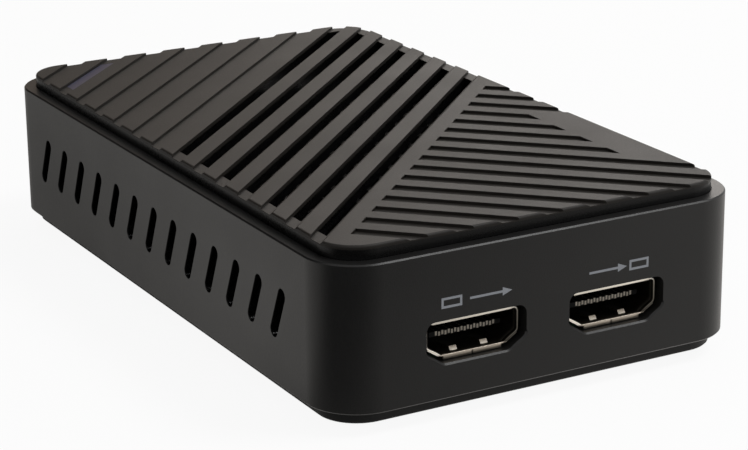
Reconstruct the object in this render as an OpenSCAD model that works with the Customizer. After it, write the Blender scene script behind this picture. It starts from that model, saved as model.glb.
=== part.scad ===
// Video capture box: a low black case with a ribbed, slotted cover, two video sockets in its front end,
// one data socket in its back end, and a circuit board under a finned heat sink inside.
// X runs across the case, Y along it with the video sockets facing -Y, and Z up.
// The origin lies under the middle of the case, on the plane that the rubber feet stand on.

/* [Case] */
// Width of the case
case_w = 66.2; // [62:0.1:80]
// Length of the case
case_l = 112.6; // [110:0.1:140]
// Height of the side band
band_h = 20.9; // [20.5:0.1:30]
// Corner radius of the side band, seen from above
corner_r = 7.7; // [7:0.1:9]
// Thickness of the band's top rim, which stands round the cover
rim_t = 1.9; // [1.6:0.1:2.4]
// Width of the shoulder inside the top rim, which the cover rests on
seat_w = 0.7; // [0.5:0.1:1.2]
// Thickness of the band's bottom rim, which stands round the base
lower_rim_t = 1.65; // [1.4:0.05:2]
// Bevel along the outer edges of the band and the base
edge_bevel = 0.2; // [0.1:0.05:0.6]
// Gap between the band and the cover or the base, on each side
fit_gap = 0.1; // [0.05:0.01:0.2]

/* [Cover] */
// Height of the cover's top above the band
cover_rise = 2; // [1.5:0.1:3]
// Depth that the cover's skirt goes down inside the rim
cover_sink = 1.2; // [0.8:0.1:2]
// Thickness of the cover's plate
cover_t = 2; // [1.6:0.1:2.6]
// Thickness of the cover's skirt
skirt_t = 1.5; // [1.2:0.1:2]
// Rounding along the cover's top edge
cover_round = 0.35; // [0.2:0.05:0.8]

/* [Ribs of the cover] */
// Distance from one rib to the next in the slotted field
rib_pitch = 5.09; // [4.5:0.01:6]
// Distance from one rib to the next in the fine field
fine_pitch = 4.99; // [4.5:0.01:6]
// Depth of the grooves between ribs
groove_depth = 0.42; // [0.2:0.01:0.7]
// Width of a groove's flat floor
floor_w = 1.9; // [1.4:0.05:2.2]
// Width of the ramp from a groove's floor up to the next rib
ramp_w = 0.5; // [0.3:0.05:1.2]
// Width of a through slot
slot_w = 1.84; // [1.2:0.02:2.4]
// Number of through slots
slot_count = 7; // [3:1:8]
// Width of the solid margin between the slots' ends and the cover's edge
slot_margin = 2.24; // [2:0.01:5]
// Distance of the line between the two rib fields from the middle of the cover
field_line = 16.03; // [12:0.01:18]
// Width of the plain strip between the line and the first slot
strip_w = 3.14; // [2.6:0.01:5]
// Distance along the line from the front edge to the first fine groove's steep side
fine_start = 9.9; // [8:0.01:16]
// Width of the bare patch at the right edge, where the fine grooves stop short
bare_w = 6.1; // [3:0.1:10]
// Length of the bare patch
bare_l = 28; // [10:0.5:40]
// Distance of the bare patch's middle in front of the cover's middle
bare_y = 29; // [25:0.5:34]

/* [Snap hooks of the cover] */
// Width of a hook
hook_w = 5; // [3:0.5:8]
// Thickness of a hook's arm
hook_t = 1.2; // [0.8:0.1:1.6]
// Length of a hook below the cover's plate
hook_l = 4.6; // [4:0.1:5]
// Depth that a hook's barb catches in the band
hook_catch = 0.5; // [0.3:0.05:0.8]
// Clearance round a hook
hook_gap = 0.15; // [0.1:0.05:0.3]
// Distance between the hooks along a long side
hook_pitch = 28; // [20:1:32]
// Height of a hook's barb
barb_h = 1.4; // [1:0.1:1.8]

/* [Base and feet] */
// Height of the base that shows below the band
base_show = 1.9; // [1.2:0.1:4]
// Depth that the base's rim goes up inside the band
base_sink = 1.6; // [1.2:0.1:2.5]
// Thickness of the base's floor
base_t = 2; // [1.6:0.1:2.5]
// Thickness of the base's rim
base_wall = 1.5; // [1.2:0.1:2.5]
// Height of the rubber feet below the base
foot_h = 1.2; // [1:0.1:4]
// Diameter of a rubber foot
foot_d = 8; // [6:0.1:8.5]
// Depth of the pocket that holds a foot
foot_sink = 0.5; // [0.3:0.1:0.8]
// Distance of a foot's middle from the band's outer faces
foot_in = 12; // [11.8:0.1:16]

/* [Vents] */
// Length of a vent slot in the long sides
vent_l = 8.2; // [5:0.1:9]
// Width of a vent slot
vent_w = 2.1; // [1:0.1:2.4]
// Distance from one vent to the next
vent_pitch = 6.87; // [5:0.01:9]
// Angle that a vent leans from upright
vent_lean = 24; // [0:1:30]
// Height of the vents' middle above the band's bottom
vent_z = 10.5; // [8:0.1:11]
// Least distance from the ends of the case to the first and last vent
vent_margin = 15; // [14:0.5:25]
// Distance of the vent row's middle behind the middle of the case
vent_shift = 0.55; // [0:0.05:1]

/* [Screws and bosses] */
// Distance of the case screws from the band's outer faces
boss_in = 6.5; // [6.3:0.1:6.8]
// Diameter of a screw boss in the band
boss_d = 6; // [5:0.1:6.6]
// Height of a screw boss
boss_h = 9; // [7:0.5:12]
// Thickness of the webs that tie a boss to the walls
web_t = 1.2; // [0.8:0.1:1.6]
// Diameter of a case screw's thread
case_screw_d = 2.2; // [1.6:0.1:2.6]
// Length of a case screw's thread
case_screw_l = 8; // [6:0.5:9]
// Diameter of a case screw's head
case_head_d = 4.4; // [3.6:0.1:4.8]
// Height of a case screw's head
case_head_h = 1.3; // [0.8:0.1:1.4]
// Height of a case screw's head above the base's underside
head_sink = 0.6; // [0.4:0.1:0.8]
// Diameter of a board or heat sink screw's thread
small_screw_d = 1.8; // [1.4:0.1:2]
// Diameter of a board or heat sink screw's head
small_head_d = 4; // [3:0.1:4.4]
// Height of a board or heat sink screw's head
small_head_h = 1.2; // [0.8:0.1:1.6]
// Clearance of a screw in its pilot hole, on each side
pilot_gap = 0.03; // [0.01:0.01:0.05]
// Clearance of a screw in a plain hole, on each side
screw_gap = 0.25; // [0.1:0.05:0.4]

/* [Circuit board] */
// Thickness of the circuit board
board_t = 1.6; // [1:0.1:2]
// Height of the posts that carry the board above the base's floor
post_h = 3.85; // [3:0.05:5]
// Diameter of a board post
post_d = 5; // [4:0.1:6]
// Gap between the board and the band
board_gap = 0.5; // [0.3:0.1:1]
// Distance of the board screws from the board's long edges
board_screw_in = 3.5; // [3:0.1:4]
// Distance between the front and the back board screws
board_screw_span = 72; // [60:0.5:76]

/* [Video sockets] */
// Distance between the two video sockets
video_pitch = 22.5; // [20:0.1:24]
// Width of a video socket's opening
video_w = 14; // [13.6:0.05:14.4]
// Height of a video socket's opening
video_h = 4.55; // [4.4:0.05:4.8]
// Length of a video socket's shell
video_l = 11; // [9:0.1:12]
// Depth of the sockets' rims behind the front face
video_recess = 1.24; // [0.5:0.01:2]
// Sheet thickness of the socket shells
shell_t = 0.3; // [0.2:0.05:0.4]
// Gap round a socket's shell in the band's cut-out
port_gap = 0.5; // [0.3:0.05:0.8]
// Width of a video socket's tongue
tongue_w = 11.2; // [10.6:0.1:12]
// Thickness of a video socket's tongue
tongue_t = 0.7; // [0.6:0.05:1.4]
// Depth of the tongue's tip behind the socket's rim
tongue_in = 2; // [1.5:0.1:3]
// Length of the block that carries the tongue
block_l = 3.4; // [2.5:0.1:4.5]
// Gap between a socket's block and its shell
block_gap = 0.05; // [0.02:0.01:0.1]
// Thickness of a contact
contact_t = 0.12; // [0.08:0.01:0.2]
// Width of a video contact
video_contact_w = 0.3; // [0.2:0.02:0.4]
// Height of the tongue's middle above the socket's middle
tongue_lift = 0.05; // [0:0.05:0.5]
// Width of a socket shell's leg
leg_w = 1.6; // [1:0.1:2]
// Width of a spring in a video socket's floor and roof
spring_w = 1.3; // [1:0.1:2.4]
// Height of a spring
spring_h = 0.5; // [0.2:0.05:0.6]

/* [Data socket] */
// Width of the data socket's opening
data_w = 8.34; // [8:0.02:9]
// Height of the data socket's opening
data_h = 2.56; // [2.4:0.02:2.8]
// Length of the data socket's shell
data_l = 8; // [7:0.1:9]
// Depth of the data socket's rim behind the back face
data_recess = 0.7; // [0.3:0.1:1.5]
// Width of the data socket's tongue
data_tongue_w = 6.69; // [6.5:0.01:7]
// Thickness of the data socket's tongue
data_tongue_t = 0.7; // [0.6:0.05:0.8]
// Width of a data contact
data_contact_w = 0.24; // [0.16:0.02:0.3]
// Depth of the data tongue's tip behind the rim
data_tip = 1; // [0.6:0.1:1.5]
// Length of the block that carries the data tongue
data_block_l = 2; // [1.5:0.1:3]

/* [Heat sink] */
// Width of the heat sink
sink_w = 42; // [40:0.5:44]
// Length of the heat sink
sink_l = 58; // [56:0.5:59]
// Height of the heat sink
sink_h = 11; // [6:0.1:12]
// Thickness of the heat sink's plate
sink_plate_t = 2.5; // [1.5:0.1:4]
// Number of fins
fin_count = 11; // [5:1:15]
// Thickness of a fin
fin_t = 1.2; // [0.8:0.1:1.6]
// Height of the spacers that carry the heat sink above the board
spacer_h = 2.2; // [2:0.1:3]
// Diameter of a spacer
spacer_d = 4.4; // [3.4:0.1:5]
// Distance of the heat sink's screws from its edges
sink_screw_in = 3.2; // [3:0.1:3.6]

/* [Chips] */
// Width of the capture processor
processor_w = 19; // [15:0.5:20]
// Width of the receiver, splitter and data controller
chip_w = 12; // [9:0.5:13]
// Height of the chips that touch the heat sink
chip_h = 1.4; // [1:0.1:1.8]
// Distance between the chips under the heat sink
chip_gap = 3; // [2:0.1:4]
// Width of a memory chip
memory_w = 7.5; // [6:0.1:8]
// Length of a memory chip
memory_l = 12.5; // [10:0.5:14]
// Height of a memory chip
memory_h = 1; // [0.8:0.1:1.2]
// Width of the boot memory
boot_w = 4; // [3:0.1:5]
// Height of the boot memory and of a power regulator
flat_chip_h = 0.9; // [0.6:0.05:1.2]
// Width of a crystal's can
crystal_w = 3.2; // [2:0.1:4]
// Width of a surge array
surge_w = 2.5; // [2:0.1:3]
// Width of a power regulator
regulator_w = 3; // [2:0.1:4]
// Length of a small capacitor
chip_capacitor_l = 1.6; // [1:0.1:2]
// Width of a power inductor
inductor_w = 5; // [4:0.1:6]
// Height of a power inductor
inductor_h = 3; // [2:0.1:4]
// Diameter of a bulk capacitor
capacitor_d = 5; // [4:0.1:6]
// Height of a bulk capacitor
capacitor_h = 5.4; // [4:0.1:7]

/* [Status light] */
// Thickness of the light guide's flange under the cover
flange_t = 1; // [0.6:0.1:1.5]
// Width of the light guide's flange beyond its bar, on each side
flange_lip = 0.6; // [0.4:0.1:1]
// Gap round the light guide's bar in the cover
lens_gap = 0.05; // [0.02:0.01:0.1]
// Diameter of the light guide's leg
leg_d = 2.2; // [1.6:0.1:2.6]
// Gap between the leg's end and the light below it
leg_gap = 0.3; // [0.1:0.05:0.6]
// Width of the status light
led_w = 1.6; // [1.2:0.1:2]
// Height of the status light
led_h = 0.8; // [0.5:0.1:1]

/* [Hidden] */
$fn = 64;

// A cut goes this far past the face that it opens
over = 1;
diagonal = sqrt(2);
half_w = case_w / 2;
half_l = case_l / 2;
wall = rim_t + seat_w;

// Heights, from the feet upwards
base_z = foot_h;
band_z = base_z + base_show;
floor_z = base_z + base_t;
base_seat_z = band_z + base_sink;
board_z = floor_z + post_h;
board_top = board_z + board_t;
sink_z = board_top + spacer_h;
band_top = band_z + band_h;
cover_seat_z = band_top - cover_sink;
cover_top = band_top + cover_rise;
cover_under = cover_top - cover_t;
cover_h = cover_top - cover_seat_z;
base_h = base_seat_z - base_z;
hook_z = cover_under - hook_l;
barb_ramp = 0.7 * barb_h;
vent_count = floor((case_l - 2 * vent_margin) / vent_pitch) + 1;

// Plan sizes of the cover, the base, the room inside the band and the board
cover_in = rim_t + fit_gap;
cover_w = case_w - 2 * cover_in;
cover_l = case_l - 2 * cover_in;
cover_r = corner_r - cover_in;
base_in = lower_rim_t + fit_gap;
base_w = case_w - 2 * base_in;
base_l = case_l - 2 * base_in;
base_r = corner_r - base_in;
room_w = case_w - 2 * wall;
room_l = case_l - 2 * wall;
room_r = corner_r - wall;
board_w = room_w - 2 * board_gap;
board_l = room_l - 2 * board_gap;

// Ribs: the slotted field counts from the line between the fields, the fine field along it
first_slot = strip_w + slot_w - field_line;
corner_reach = (cover_w / 2 + cover_l / 2 - 2 * cover_r) / diagonal + cover_r;
groove_count = floor((corner_reach - first_slot) / rib_pitch) + 1;
light_groove = first_slot + (groove_count - 2) * rib_pitch;
line_front = field_line - cover_l / diagonal;
line_back = cover_w / diagonal - field_line;
fine_count = floor((line_back - line_front - fine_start) / fine_pitch) + 1;
groove_reach = case_w + case_l;

// Places of the case screws, the feet, the board screws and the heat sink's screws
boss_x = half_w - boss_in;
boss_y = half_l - boss_in;
screw_seat_z = base_z + head_sink + case_head_h;
foot_x = half_w - foot_in;
foot_y = half_l - foot_in;
board_screw_x = board_w / 2 - board_screw_in;
board_screw_y = board_screw_span / 2;
board_pilot_l = post_h - screw_gap;
case_pilot_l = case_screw_l - (base_seat_z - screw_seat_z) + screw_gap;
tower_d = case_head_d + 2 * screw_gap + 2 * base_wall;
sink_y = 2;
sink_screw_x = sink_w / 2 - sink_screw_in;
sink_screw_y = sink_l / 2 - sink_screw_in;

// Places of the sockets
video_x = video_pitch / 2;
video_y = video_recess - half_l;
video_z = board_top + shell_t + video_h / 2;
data_y = half_l - data_recess;
data_z = board_top + shell_t + data_h / 2;
video_round = 0.5;
video_contact_pitch = 1;
data_contact_pitch = 0.5;
tip_bare = 0.5;
tip_fold = tongue_t - contact_t;
tail_gap = 0.2;
foot_l = 0.8;
spring_x = 2.4;
spring_l = 4;
socket_drop = video_h / 2 + shell_t + board_t + foot_l;

// Places of the chips and of the parts round the heat sink
part_gap = 1;
front_chip_y = sink_y - sink_screw_y + spacer_d / 2 + part_gap + chip_w / 2;
processor_y = front_chip_y + chip_w / 2 + chip_gap + processor_w / 2;
back_chip_y = processor_y + processor_w / 2 + chip_gap + chip_w / 2;
memory_x = processor_w / 2 + 2 * part_gap + memory_w / 2;
side_x = (sink_w + board_w) / 4;
front_row_y = sink_y - sink_l / 2 - 4 * part_gap;
small_row_pitch = 4.5;
surge_x = 3;
surge_y = video_y + video_l + tail_gap + foot_l + 2 * part_gap;
back_edge_y = max(sink_y + sink_l / 2, back_chip_y + chip_w / 2);
back_row_y = back_edge_y + part_gap + max(inductor_w, capacitor_d) / 2;
pad_t = spacer_h - chip_h;
inductor_pitch = inductor_w + 4 * part_gap;
regulator_y = back_row_y + inductor_w / 2 + part_gap + regulator_w / 2;
capacitor_x = inductor_pitch + inductor_w / 2 + 2 * part_gap + capacitor_d / 2;
capacitor_foot_h = 0.8;
leg_y = boss_y - boss_d / 2 - board_gap - led_w;
leg_x = leg_y - (light_groove - floor_w / 2) * diagonal;

// Outline of a video socket's opening, wide side up, about its middle
video_outline = [
  [-video_w / 2, video_h / 2], [-video_w / 2, -0.2 * video_h], [-0.405 * video_w, -0.375 * video_h],
  [-0.35 * video_w, -video_h / 2], [0.35 * video_w, -video_h / 2], [0.405 * video_w, -0.375 * video_h],
  [video_w / 2, -0.2 * video_h], [video_w / 2, video_h / 2]
];

// Plate with rounded corners whose edge follows a profile: children reach from x = 0 at the corner's
// centre to x = r at the outside, and from y = 0 to y = h
module swept_plate(w, l, r, h) {
  span_x = w - 2 * r;
  span_y = l - 2 * r;
  translate([-span_x / 2, -span_y / 2, 0]) cube([span_x, span_y, h]);
  for (turn = [0, 180]) rotate(turn) {
    translate([span_x / 2, span_y / 2, 0]) rotate([90, 0, 0]) linear_extrude(span_y) children();
    translate([-span_x / 2, span_y / 2, 0]) rotate([90, 0, 90]) linear_extrude(span_x) children();
    translate([span_x / 2, span_y / 2, 0]) rotate_extrude(angle = 90) children();
    translate([-span_x / 2, span_y / 2, 0]) rotate(90) rotate_extrude(angle = 90) children();
  }
}

// Plain plate with rounded corners
module plate(w, l, r, h) {
  swept_plate(w, l, r, h) square([r, h]);
}

// The children mirrored into the four quarters of the plan
module quarters() {
  for (flip_x = [0, 1], flip_y = [0, 1]) mirror([flip_x, 0, 0]) mirror([0, flip_y, 0]) children();
}

// Block centred in plan, standing on z = 0
module block(w, l, h) {
  translate([-w / 2, -l / 2, 0]) cube([w, l, h]);
}

// Profile in Y and Z, carried across X to the given width
module across(w) {
  rotate([90, 0, 90]) linear_extrude(w, center = true) children();
}

// Outline in X and Z, carried along Y from y = 0 to the given length
module along(l) {
  translate([0, l, 0]) rotate([90, 0, 0]) linear_extrude(l) children();
}

// Screw with its head below z = 0 and its thread above
module screw(head_d, head_h, thread_d, thread_l) {
  translate([0, 0, -head_h]) cylinder(d = head_d, h = head_h);
  cylinder(d = thread_d, h = thread_l);
}

// Places of the snap hooks, each with X pointing outwards from the inner face of a wall
module hook_places() {
  for (turn = [0, 180]) rotate(turn) {
    for (i = [-1:1]) translate([room_w / 2, i * hook_pitch, hook_z]) children();
    rotate(90) translate([room_l / 2, 0, hook_z]) children();
  }
}

// Arm with a barb that snaps into the wall
module hook() {
  translate([-hook_gap - hook_t, -hook_w / 2, 0]) cube([hook_t, hook_w, hook_l + cover_t / 2]);
  translate([-hook_gap, hook_w / 2, 0]) rotate([90, 0, 0]) linear_extrude(hook_w)
    polygon([[0, 0], [hook_catch, barb_ramp], [hook_catch, barb_h], [0, barb_h]]);
}

// Pocket in the wall for a hook's barb
module hook_pocket() {
  translate([-over, -hook_w / 2 - hook_gap, -hook_gap])
    cube([over + hook_catch, hook_w + 2 * hook_gap, barb_h + 2 * hook_gap]);
}

// Slot with round ends, leaning in the plane of the long sides and cut through both of them
module vent() {
  rotate([vent_lean, 0, 0]) across(case_w + 2 * over) {
    square([vent_w, vent_l - vent_w], center = true);
    for (end = [-1, 1]) translate([0, end * (vent_l - vent_w) / 2]) circle(d = vent_w);
  }
}

// Outline of a video socket with rounded corners, grown on every side
module video_shape(grow) {
  offset(r = grow + video_round, $fn = 24) offset(delta = -video_round) polygon(video_outline);
}

// Outline of the data socket: a slot with round ends, grown on every side
module data_shape(grow) {
  square([data_w - data_h, data_h + 2 * grow], center = true);
  for (end = [-1, 1]) translate([end * (data_w - data_h) / 2, 0]) circle(d = data_h + 2 * grow);
}

// Places of the sockets, each with its rim at y = 0 and its body towards +Y
module video_place(side) {
  translate([side * video_x, video_y, video_z]) children();
}

module data_place() {
  translate([0, data_y, data_z]) rotate(180) children();
}

// Side band: one moulded ring with rims for the cover and the base, vents, socket cut-outs,
// pockets for the cover's hooks and bosses for the case screws
module side_band() color("#343332") difference() {
  union() {
    difference() {
      translate([0, 0, band_z]) swept_plate(case_w, case_l, corner_r, band_h) polygon([
        [0, 0], [corner_r - edge_bevel, 0], [corner_r, edge_bevel],
        [corner_r, band_h - edge_bevel], [corner_r - edge_bevel, band_h], [0, band_h]
      ]);
      translate([0, 0, band_z - over]) plate(room_w, room_l, room_r, band_h + 2 * over);
    }
    quarters() translate([boss_x, boss_y, base_seat_z]) {
      cylinder(d = boss_d, h = boss_h);
      translate([0, -web_t / 2, 0]) cube([boss_in - wall / 2, web_t, boss_h]);
      translate([-web_t / 2, 0, 0]) cube([web_t, boss_in - wall / 2, boss_h]);
    }
  }
  translate([0, 0, cover_seat_z])
    plate(case_w - 2 * rim_t, case_l - 2 * rim_t, corner_r - rim_t, cover_sink + over);
  translate([0, 0, band_z - over])
    plate(case_w - 2 * lower_rim_t, case_l - 2 * lower_rim_t, corner_r - lower_rim_t, base_sink + over);
  quarters() translate([boss_x, boss_y, base_seat_z - over])
    cylinder(d = case_screw_d + 2 * pilot_gap, h = case_pilot_l + over);
  hook_places() hook_pocket();
  for (i = [0:vent_count - 1])
    translate([0, vent_shift + (i - (vent_count - 1) / 2) * vent_pitch, band_z + vent_z]) vent();
  for (side = [-1, 1]) video_place(side) translate([0, -video_recess - over, 0])
    along(video_recess + wall + 2 * over) video_shape(shell_t + port_gap);
  data_place() translate([0, -data_recess - over, 0])
    along(data_recess + wall + 2 * over) data_shape(shell_t + port_gap);
}

// Section of a groove: a steep side at x = 0, a flat floor and a ramp up to the next rib
module groove_section() {
  polygon([
    [0, over], [0, -groove_depth], [-floor_w, -groove_depth], [-floor_w - ramp_w, 0],
    [-floor_w - ramp_w, over]
  ]);
}

// Bar on the slant of the slotted field, below the steep side at the given place
module slant_bar(place, w, h) {
  rotate(45) translate([-groove_reach / 2, place - w, 0]) cube([groove_reach, w, h]);
}

// Part of the cover inside its solid margin
module slot_area(grow, h) {
  block(cover_w - 2 * slot_margin + 2 * grow, cover_l - 2 * slot_margin + 2 * grow, h);
}

// Fine grooves that meet the right edge in the bare patch, or all the others
module fine_grooves(bare) {
  for (i = [0:fine_count - 1]) {
    place = line_front + fine_start + i * fine_pitch;
    edge_y = place * diagonal - cover_w / 2;
    if ((abs(edge_y + bare_y) < bare_l / 2) == bare)
      translate([place, -field_line, 0]) rotate([90, 0, 0]) linear_extrude(groove_reach) groove_section();
  }
}

// Cover: a plate with a rounded edge, a skirt that rests on the band's shoulder and snap hooks.
// Two fields of grooves run out over its edge, at right angles to each other, with slots in the first.
module top_cover() color("#46423f") difference() {
  union() {
    difference() {
      translate([0, 0, cover_seat_z]) swept_plate(cover_w, cover_l, cover_r, cover_h) {
        square([cover_r, cover_h - cover_round]);
        square([cover_r - cover_round, cover_h]);
        translate([cover_r - cover_round, cover_h - cover_round]) circle(cover_round);
      }
      translate([0, 0, cover_seat_z - over]) plate(
        cover_w - 2 * skirt_t, cover_l - 2 * skirt_t, cover_r - skirt_t, cover_under - cover_seat_z + over);
    }
    hook_places() hook();
  }
  translate([0, 0, cover_top]) rotate(45) for (i = [0:groove_count - 1])
    translate([0, first_slot + i * rib_pitch, 0]) across(groove_reach) groove_section();
  translate([0, 0, cover_top]) rotate(45) fine_grooves(false);
  translate([0, 0, cover_top]) difference() {
    rotate(45) fine_grooves(true);
    translate([cover_w / 2 - bare_w, -cover_l / 2, -cover_t]) cube([2 * bare_w, cover_l, 2 * cover_t]);
  }
  translate([0, 0, cover_under - over]) intersection() {
    slot_area(0, cover_t + over);
    for (i = [0:slot_count - 1]) slant_bar(first_slot + i * rib_pitch, slot_w, cover_t + over);
  }
  translate([0, 0, cover_under - over]) intersection() {
    slot_area(0, cover_t + over);
    slant_bar(light_groove, floor_w, cover_t + over);
  }
}

// Base: a shallow tray that goes up inside the band, with pockets for the feet, seats for the case
// screws and posts for the board
module base_plate() color("#2c2b2a") difference() {
  union() {
    difference() {
      translate([0, 0, base_z]) swept_plate(base_w, base_l, base_r, base_h) polygon([
        [0, 0], [base_r - edge_bevel, 0], [base_r, edge_bevel], [base_r, base_h], [0, base_h]
      ]);
      translate([0, 0, floor_z])
        plate(base_w - 2 * base_wall, base_l - 2 * base_wall, base_r - base_wall, base_h);
    }
    quarters() translate([boss_x, boss_y, base_z + base_t / 2])
      cylinder(d = tower_d, h = base_h - base_t / 2);
    quarters() translate([board_screw_x, board_screw_y, base_z + base_t / 2])
      cylinder(d = post_d, h = base_t / 2 + post_h);
  }
  quarters() translate([boss_x, boss_y, base_z - over]) {
    cylinder(d = case_head_d + 2 * screw_gap, h = screw_seat_z - base_z + over);
    cylinder(d = case_screw_d + 2 * screw_gap, h = base_h + 2 * over);
  }
  quarters() translate([foot_x, foot_y, base_z - over])
    cylinder(d = foot_d + 2 * fit_gap, h = foot_sink + over);
  quarters() translate([board_screw_x, board_screw_y, board_z - board_pilot_l])
    cylinder(d = small_screw_d + 2 * pilot_gap, h = board_pilot_l + over);
}

// Four rubber feet, stuck into the base's pockets
module rubber_feet() color("#1f1f20") quarters() translate([foot_x, foot_y, 0]) rotate_extrude() polygon([
  [0, 0], [foot_d / 2 - edge_bevel, 0], [foot_d / 2, edge_bevel], [foot_d / 2, foot_h + foot_sink],
  [0, foot_h + foot_sink]
]);

// Four screws that pull the base up against the band's bosses
module case_screws() color("#8d8f92") quarters() translate([boss_x, boss_y, screw_seat_z])
  screw(case_head_d, case_head_h, case_screw_d, case_screw_l);

// Circuit board, with its corners cut away for the bosses and slots for the sockets' legs
module main_board() color("#1f4d33") difference() {
  translate([0, 0, board_z]) block(board_w, board_l, board_t);
  quarters() translate([boss_x - boss_d / 2 - board_gap, boss_y - boss_d / 2 - board_gap, board_z - over])
    cube([boss_in + boss_d, boss_in + boss_d, board_t + 2 * over]);
  quarters() translate([board_screw_x, board_screw_y, board_z - over])
    cylinder(d = small_screw_d + 2 * screw_gap, h = board_t + 2 * over);
  for (side = [-1, 1]) video_place(side) leg_places(video_w, video_l) leg(screw_gap);
  data_place() leg_places(data_w, data_l) leg(screw_gap);
}

// Four screws that hold the board down on its posts
module board_screws() color("#a9abad") quarters() translate([board_screw_x, board_screw_y, board_top])
  rotate([180, 0, 0]) screw(small_head_d, small_head_h, small_screw_d, board_t + board_pilot_l - screw_gap);

// Places of a socket's four legs, at the outside of its shell
module leg_places(w, l) {
  for (side = [-1, 1], y = [0.4 * l, 0.8 * l]) translate([side * (w + shell_t) / 2, y, 0]) children();
}

// Leg that goes down from a shell's side through the board, or the slot for it
module leg(grow) {
  translate([0, 0, -socket_drop]) block(shell_t + 2 * grow, leg_w + 2 * grow, socket_drop);
}

// Folded sheet shell of a video socket: four legs, and springs pressed into its floor and roof
module video_shell(side) color("#c9c2b4") video_place(side) {
  difference() {
    along(video_l) video_shape(shell_t);
    translate([0, -over, 0]) along(video_l + 2 * over) video_shape(0);
  }
  leg_places(video_w, video_l) leg(0);
  for (flip = [0, 1], x = [-spring_x, spring_x]) mirror([0, 0, flip])
    translate([x, tongue_in, -video_h / 2]) across(spring_w) polygon([
      [0, -shell_t], [spring_l, -shell_t], [spring_l, 0], [0.3 * spring_l, spring_h],
      [0.1 * spring_l, spring_h], [0, 0]
    ]);
}

// One contact: a strip along the tongue, down behind the socket and out along the board.
// z is the strip's underside, tail the place where it turns down, drop the board's depth below the middle.
module contact(z, tip, tail, drop, w) {
  across(w) polygon([
    [tip, z], [tail, z], [tail, -drop], [tail + foot_l, -drop], [tail + foot_l, contact_t - drop],
    [tail + contact_t, contact_t - drop], [tail + contact_t, z + contact_t], [tip, z + contact_t]
  ]);
}

// Video contact let into the tongue, whose tip stands in the tongue's end from tip_z upwards
module video_contact(z, tip_z) {
  contact(z, tongue_in, video_l + tail_gap, video_h / 2 + shell_t, video_contact_w);
  translate([-video_contact_w / 2, tongue_in, tip_z]) cube([video_contact_w, contact_t, tip_fold]);
}

// Nineteen contacts in two staggered rows, ten in the tongue's top and nine in its underside
module video_contacts(side) color("#d8b25a") video_place(side) {
  top_z = tongue_lift + tongue_t / 2;
  under_z = tongue_lift - tongue_t / 2;
  for (i = [-4.5:4.5]) translate([i * video_contact_pitch, 0, 0])
    video_contact(top_z - contact_t, top_z - tip_fold);
  for (i = [-4:4]) translate([i * video_contact_pitch, 0, 0]) video_contact(under_z, under_z);
}

// Plastic block at the back of a video socket, with the tongue that carries the contacts
module video_tongue(side) color("#26262a") difference() {
  video_place(side) {
    translate([0, video_l - block_l, 0]) along(block_l) video_shape(-block_gap);
    translate([-tongue_w / 2, tongue_in, tongue_lift - tongue_t / 2])
      cube([tongue_w, video_l - block_l / 2 - tongue_in, tongue_t]);
  }
  video_contacts(side);
}

// Drawn sheet shell of the data socket, with four legs
module data_port_shell() color("#c4c6c8") data_place() {
  difference() {
    along(data_l) data_shape(shell_t);
    translate([0, -over, 0]) along(data_l + 2 * over) data_shape(0);
  }
  leg_places(data_w, data_l) leg(0);
}

// Two rows of twelve contacts, with the upper row's tails behind the lower row's
module data_port_contacts() color("#d8b25a") data_place() {
  tip = data_tip + tip_bare;
  tail = data_l + tail_gap;
  drop = data_h / 2 + shell_t;
  for (i = [-5.5:5.5]) translate([i * data_contact_pitch, 0, 0]) {
    contact(data_tongue_t / 2, tip, tail + tail_gap + foot_l, drop, data_contact_w);
    contact(-data_tongue_t / 2 - contact_t, tip, tail, drop, data_contact_w);
  }
}

// Plastic block at the back of the data socket, with its thin tongue
module data_port_tongue() color("#26262a") difference() {
  data_place() {
    translate([0, data_l - data_block_l, 0]) along(data_block_l) data_shape(-block_gap);
    translate([-data_tongue_w / 2, data_tip, -data_tongue_t / 2])
      cube([data_tongue_w, data_l - data_block_l / 2 - data_tip, data_tongue_t]);
  }
  data_port_contacts();
}

// Extruded heat sink, with its fins cut away round four screws
module heat_sink() color("#2f3033") difference() {
  translate([0, sink_y - sink_l / 2, sink_z]) along(sink_l) {
    translate([-sink_w / 2, 0]) square([sink_w, sink_plate_t]);
    for (i = [0:fin_count - 1])
      translate([i * (sink_w - fin_t) / (fin_count - 1) - sink_w / 2, 0]) square([fin_t, sink_h]);
  }
  sink_screw_places(sink_z + sink_plate_t) cylinder(d = small_head_d + 4 * screw_gap, h = sink_h);
  sink_screw_places(sink_z - over) cylinder(d = small_screw_d + 2 * screw_gap, h = sink_plate_t + 2 * over);
}

module sink_screw_places(z) {
  translate([0, sink_y, z]) quarters() translate([sink_screw_x, sink_screw_y, 0]) children();
}

// Four threaded spacers, soldered to the board, that the heat sink stands on
module heat_sink_spacers() color("#c8a24c") sink_screw_places(board_top) difference() {
  cylinder(d = spacer_d, h = spacer_h);
  translate([0, 0, -over]) cylinder(d = small_screw_d + 2 * pilot_gap, h = spacer_h + 2 * over);
}

// Four screws that hold the heat sink down on its spacers
module heat_sink_screws() color("#a9abad") sink_screw_places(sink_z + sink_plate_t) rotate([180, 0, 0])
  screw(small_head_d, small_head_h, small_screw_d, sink_plate_t + spacer_h - screw_gap);

// Flat chip on the board
module chip(x, y, w, l, h) {
  translate([x, y, board_top]) block(w, l, h);
}

// Soft pads that fill the gap between the hot chips and the heat sink
module thermal_pads() color("#9aa0a8") translate([0, 0, chip_h]) {
  chip(0, processor_y, processor_w, processor_w, pad_t);
  chip(0, back_chip_y, chip_w, chip_w, pad_t);
  for (side = [-1, 1]) chip(side * video_x, front_chip_y, chip_w, chip_w, pad_t);
}

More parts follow.
